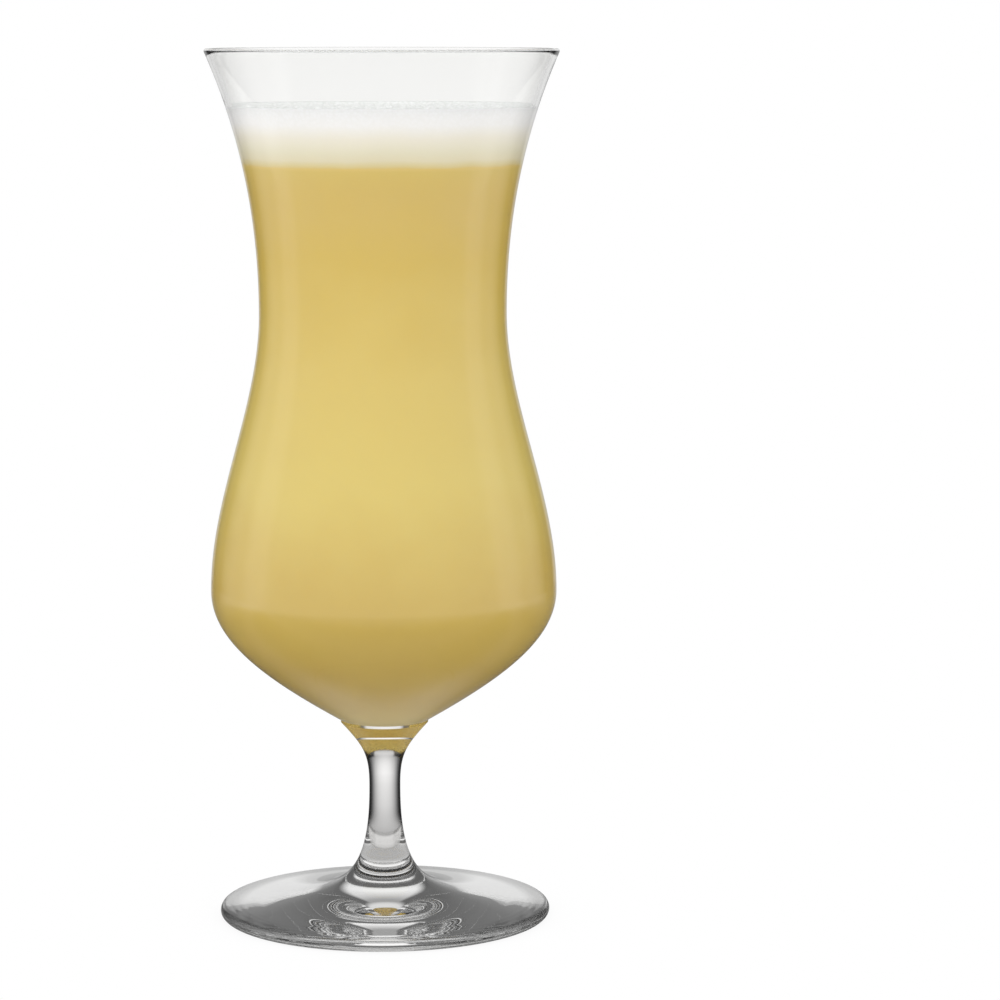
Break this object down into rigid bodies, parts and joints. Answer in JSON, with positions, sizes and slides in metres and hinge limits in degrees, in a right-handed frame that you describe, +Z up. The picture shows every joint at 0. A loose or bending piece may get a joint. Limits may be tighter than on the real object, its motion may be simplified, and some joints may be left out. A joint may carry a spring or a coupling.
{
  "type": "hurricane glass",
  "caption": "Stemmed cocktail glass with a flared rim, a narrow waist, a round belly and a wide foot, holding a cloudy yellow drink under a head of pale foam.",
  "frame": {"origin": "on the axis of the glass, at the level of the table it stands on", "axes": "+Z up along the axis of the glass, +X to the right and +Y away from a viewer in front; the glass is round, so X and Y are free"},
  "size_m": [0.0824, 0.0824, 0.205],
  "materials": {
    "clear_glass": "gloss",
    "drink": "gloss",
    "foam": "matte"
  },
  "bodies": {
    "root": {"foot": "clear_glass", "stem": "clear_glass", "bowl": "clear_glass", "drink": "drink", "foam": "foam"}
  },
  "joints": []
}
